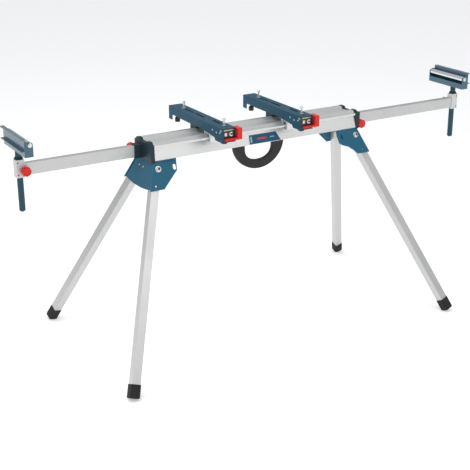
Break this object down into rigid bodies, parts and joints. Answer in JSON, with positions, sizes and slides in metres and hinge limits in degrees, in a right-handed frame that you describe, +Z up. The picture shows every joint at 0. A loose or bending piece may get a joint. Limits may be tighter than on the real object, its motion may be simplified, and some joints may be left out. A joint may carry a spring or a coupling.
{
  "type": "mitre saw stand",
  "caption": "Folding work stand: aluminium beam on splayed folding legs, clamp-on saw mounts with release levers, and extending arms with height-adjustable roller heads.",
  "frame": {"origin": "on the floor, under the middle of the overall width and depth with both arms pulled out as shown", "axes": "+X along the beam to the user's right, +Y away from the user, +Z up"},
  "size_m": [1.99, 0.8156, 0.909],
  "materials": {
    "beam_aluminium": "satin anodised extrusion",
    "arm_aluminium": "satin extrusion",
    "leg_aluminium": "satin anodised tube",
    "roller_metal": "turned and polished",
    "zinc_steel": "bright zinc plate",
    "jaw_aluminium": "die cast",
    "yellow_zinc": "yellow passivated zinc",
    "bracket_blue": "satin powder coat",
    "mount_blue": "satin powder coat",
    "head_blue": "satin powder coat",
    "post_blue": "satin powder coat",
    "badge_blue": null,
    "cap_plastic": "moulded",
    "clamp_grey": "cast, light grey",
    "knob_red": "moulded",
    "lever_red": "moulded",
    "knob_black": "moulded",
    "handle_black": "moulded, fine grain",
    "foot_rubber": "moulded"
  },
  "bodies": {
    "stand_body": {"main_beam": "beam_aluminium", "carry_handle": "handle_black", "nameplate": "badge_blue", "left_end_cap": "cap_plastic", "left_leg_bracket": "bracket_blue", "left_front_pivot_bolt": "zinc_steel", "left_rear_pivot_bolt": "zinc_steel", "right_end_cap": "cap_plastic", "right_leg_bracket": "bracket_blue", "right_front_pivot_bolt": "zinc_steel", "right_rear_pivot_bolt": "zinc_steel"},
    "left_arm": {"left_arm": "arm_aluminium", "left_post_clamp": "clamp_grey"},
    "left_arm_knob": {"left_arm_knob": "knob_red"},
    "left_post_knob": {"left_post_knob": "knob_red"},
    "left_post": {"left_post": "post_blue", "left_roller_frame": "head_blue", "left_roller_axle": "zinc_steel"},
    "left_roller": {"left_roller": "roller_metal"},
    "left_front_leg": {"left_front_leg": "leg_aluminium", "left_front_foot": "foot_rubber"},
    "left_front_lock_pin": {"left_front_lock_pin": "zinc_steel"},
    "left_rear_leg": {"left_rear_leg": "leg_aluminium", "left_rear_foot": "foot_rubber"},
    "left_rear_lock_pin": {"left_rear_lock_pin": "zinc_steel"},
    "right_arm": {"right_arm": "arm_aluminium", "right_post_clamp": "clamp_grey"},
    "right_arm_knob": {"right_arm_knob": "knob_red"},
    "right_post_knob": {"right_post_knob": "knob_red"},
    "right_post": {"right_post": "post_blue", "right_roller_frame": "head_blue", "right_roller_axle": "zinc_steel"},
    "right_roller": {"right_roller": "roller_metal"},
    "right_front_leg": {"right_front_leg": "leg_aluminium", "right_front_foot": "foot_rubber"},
    "right_front_lock_pin": {"right_front_lock_pin": "zinc_steel"},
    "right_rear_leg": {"right_rear_leg": "leg_aluminium", "right_rear_foot": "foot_rubber"},
    "right_rear_lock_pin": {"right_rear_lock_pin": "zinc_steel"},
    "left_mount": {"left_mount_channel": "mount_blue", "left_mount_rear_hook": "cap_plastic", "left_mount_front_plate": "zinc_steel", "left_mount_lever_pin": "yellow_zinc"},
    "left_mount_lever": {"left_mount_lever": "lever_red"},
    "left_mount_jaw": {"left_mount_clamp_jaw": "jaw_aluminium"},
    "left_mount_rear_bolt": {"left_mount_rear_bolt": "zinc_steel"},
    "left_mount_rear_knob": {"left_mount_rear_knob": "knob_black"},
    "left_mount_front_bolt": {"left_mount_front_bolt": "zinc_steel"},
    "left_mount_front_knob": {"left_mount_front_knob": "knob_black"},
    "right_mount": {"right_mount_channel": "mount_blue", "right_mount_rear_hook": "cap_plastic", "right_mount_front_plate": "zinc_steel", "right_mount_lever_pin": "yellow_zinc"},
    "right_mount_lever": {"right_mount_lever": "lever_red"},
    "right_mount_jaw": {"right_mount_clamp_jaw": "jaw_aluminium"},
    "right_mount_rear_bolt": {"right_mount_rear_bolt": "zinc_steel"},
    "right_mount_rear_knob": {"right_mount_rear_knob": "knob_black"},
    "right_mount_front_bolt": {"right_mount_front_bolt": "zinc_steel"},
    "right_mount_front_knob": {"right_mount_front_knob": "knob_black"}
  },
  "joints": [
    {"name": "left_arm_slide", "type": "slide", "parent": "stand_body", "child": "left_arm", "axis": [-1, 0, 0], "range_m": [-0.4, 0.19]},
    {"name": "left_arm_knob_turn", "type": "hinge", "parent": "stand_body", "child": "left_arm_knob", "pos_m": [-0.5242, 0.0331, 0.777], "axis": [0, 1, 0], "continuous": true},
    {"name": "left_post_knob_turn", "type": "hinge", "parent": "left_arm", "child": "left_post_knob", "pos_m": [-0.957, 0.0015, 0.772], "axis": [0, -1, 0], "continuous": true},
    {"name": "left_post_height", "type": "slide", "parent": "left_arm", "child": "left_post", "axis": [0, 0, 1], "range_m": [-0.02, 0.1]},
    {"name": "left_roller_spin", "type": "hinge", "parent": "left_post", "child": "left_roller", "pos_m": [-0.963, 0.0145, 0.885], "axis": [0, 1, 0], "continuous": true},
    {"name": "left_front_leg_fold", "type": "hinge", "parent": "stand_body", "child": "left_front_leg", "pos_m": [-0.48338, -0.05753, 0.7115], "axis": [0.0523, -0.911, 0.409], "range_deg": [0, 107.3]},
    {"name": "left_front_lock_pin_press", "type": "slide", "parent": "left_front_leg", "child": "left_front_lock_pin", "axis": [-0.0523, 0.911, -0.409], "range_m": [0, 0.003], "stiffness_N_per_m": 400, "springref_m": -0.001},
    {"name": "left_rear_leg_fold", "type": "hinge", "parent": "stand_body", "child": "left_rear_leg", "pos_m": [-0.48338, 0.05753, 0.7115], "axis": [0.0558, -0.8945, -0.4437], "range_deg": [0, 108.7]},
    {"name": "left_rear_lock_pin_press", "type": "slide", "parent": "left_rear_leg", "child": "left_rear_lock_pin", "axis": [0.0558, -0.8945, -0.4437], "range_m": [0, 0.003], "stiffness_N_per_m": 400, "springref_m": -0.001},
    {"name": "right_arm_slide", "type": "slide", "parent": "stand_body", "child": "right_arm", "axis": [1, 0, 0], "range_m": [-0.475, 0.1]},
    {"name": "right_arm_knob_turn", "type": "hinge", "parent": "stand_body", "child": "right_arm_knob", "pos_m": [0.4482, -0.0331, 0.758], "axis": [0, -1, 0], "continuous": true},
    {"name": "right_post_knob_turn", "type": "hinge", "parent": "right_arm", "child": "right_post_knob", "pos_m": [0.957, -0.0015, 0.772], "axis": [0, 1, 0], "continuous": true},
    {"name": "right_post_height", "type": "slide", "parent": "right_arm", "child": "right_post", "axis": [0, 0, 1], "range_m": [-0.02, 0.1]},
    {"name": "right_roller_spin", "type": "hinge", "parent": "right_post", "child": "right_roller", "pos_m": [0.963, 0.0145, 0.885], "axis": [0, 1, 0], "continuous": true},
    {"name": "right_front_leg_fold", "type": "hinge", "parent": "stand_body", "child": "right_front_leg", "pos_m": [0.40738, -0.05753, 0.7115], "axis": [-0.0558, 0.8945, -0.4437], "range_deg": [0, 108.7]},
    {"name": "right_front_lock_pin_press", "type": "slide", "parent": "right_front_leg", "child": "right_front_lock_pin", "axis": [-0.0558, 0.8945, -0.4437], "range_m": [0, 0.003], "stiffness_N_per_m": 400, "springref_m": -0.001},
    {"name": "right_rear_leg_fold", "type": "hinge", "parent": "stand_body", "child": "right_rear_leg", "pos_m": [0.40738, 0.05753, 0.7115], "axis": [-0.0523, 0.911, 0.409], "range_deg": [0, 107.3]},
    {"name": "right_rear_lock_pin_press", "type": "slide", "parent": "right_rear_leg", "child": "right_rear_lock_pin", "axis": [0.0523, -0.911, -0.409], "range_m": [0, 0.003], "stiffness_N_per_m": 400, "springref_m": -0.001},
    {"name": "left_mount_slide", "type": "slide", "parent": "stand_body", "child": "left_mount", "axis": [1, 0, 0], "range_m": [-0.2, 0.12]},
    {"name": "left_mount_lever_swing", "type": "hinge", "parent": "left_mount", "child": "left_mount_lever", "pos_m": [-0.24, -0.167, 0.8535], "axis": [-1, 0, 0], "range_deg": [0, 95]},
    {"name": "left_mount_jaw_slide", "type": "slide", "parent": "left_mount", "child": "left_mount_jaw", "axis": [0, -1, 0], "range_m": [0, 0.01]},
    {"name": "left_mount_rear_bolt_slide", "type": "slide", "parent": "left_mount", "child": "left_mount_rear_bolt", "axis": [0, 1, 0], "range_m": [-0.075, 0.005]},
    {"name": "left_mount_rear_knob_turn", "type": "hinge", "parent": "left_mount", "child": "left_mount_rear_knob", "pos_m": [-0.24, 0.227, 0.812], "axis": [0, 0, 1], "continuous": true},
    {"name": "left_mount_front_bolt_slide", "type": "slide", "parent": "left_mount", "child": "left_mount_front_bolt", "axis": [0, 1, 0], "range_m": [-0.01, 0.006]},
    {"name": "left_mount_front_knob_turn", "type": "hinge", "parent": "left_mount_front_bolt", "child": "left_mount_front_knob", "pos_m": [-0.24, -0.138, 0.806], "axis": [0, 0, 1], "continuous": true},
    {"name": "right_mount_slide", "type": "slide", "parent": "stand_body", "child": "right_mount", "axis": [1, 0, 0], "range_m": [-0.12, 0.25]},
    {"name": "right_mount_lever_swing", "type": "hinge", "parent": "right_mount", "child": "right_mount_lever", "pos_m": [0.101, -0.167, 0.8535], "axis": [-1, 0, 0], "range_deg": [0, 95]},
    {"name": "right_mount_jaw_slide", "type": "slide", "parent": "right_mount", "child": "right_mount_jaw", "axis": [0, -1, 0], "range_m": [0, 0.01]},
    {"name": "right_mount_rear_bolt_slide", "type": "slide", "parent": "right_mount", "child": "right_mount_rear_bolt", "axis": [0, 1, 0], "range_m": [-0.075, 0.005]},
    {"name": "right_mount_rear_knob_turn", "type": "hinge", "parent": "right_mount", "child": "right_mount_rear_knob", "pos_m": [0.101, 0.227, 0.812], "axis": [0, 0, 1], "continuous": true},
    {"name": "right_mount_front_bolt_slide", "type": "slide", "parent": "right_mount", "child": "right_mount_front_bolt", "axis": [0, 1, 0], "range_m": [-0.01, 0.006]},
    {"name": "right_mount_front_knob_turn", "type": "hinge", "parent": "right_mount_front_bolt", "child": "right_mount_front_knob", "pos_m": [0.101, -0.138, 0.806], "axis": [0, 0, 1], "continuous": true}
  ],
  "couplings": [
    {"joint": "left_mount_lever_swing", "follows": "left_mount_jaw_slide", "rad_per_m": 165.81},
    {"joint": "right_mount_lever_swing", "follows": "right_mount_jaw_slide", "rad_per_m": 165.81}
  ]
}
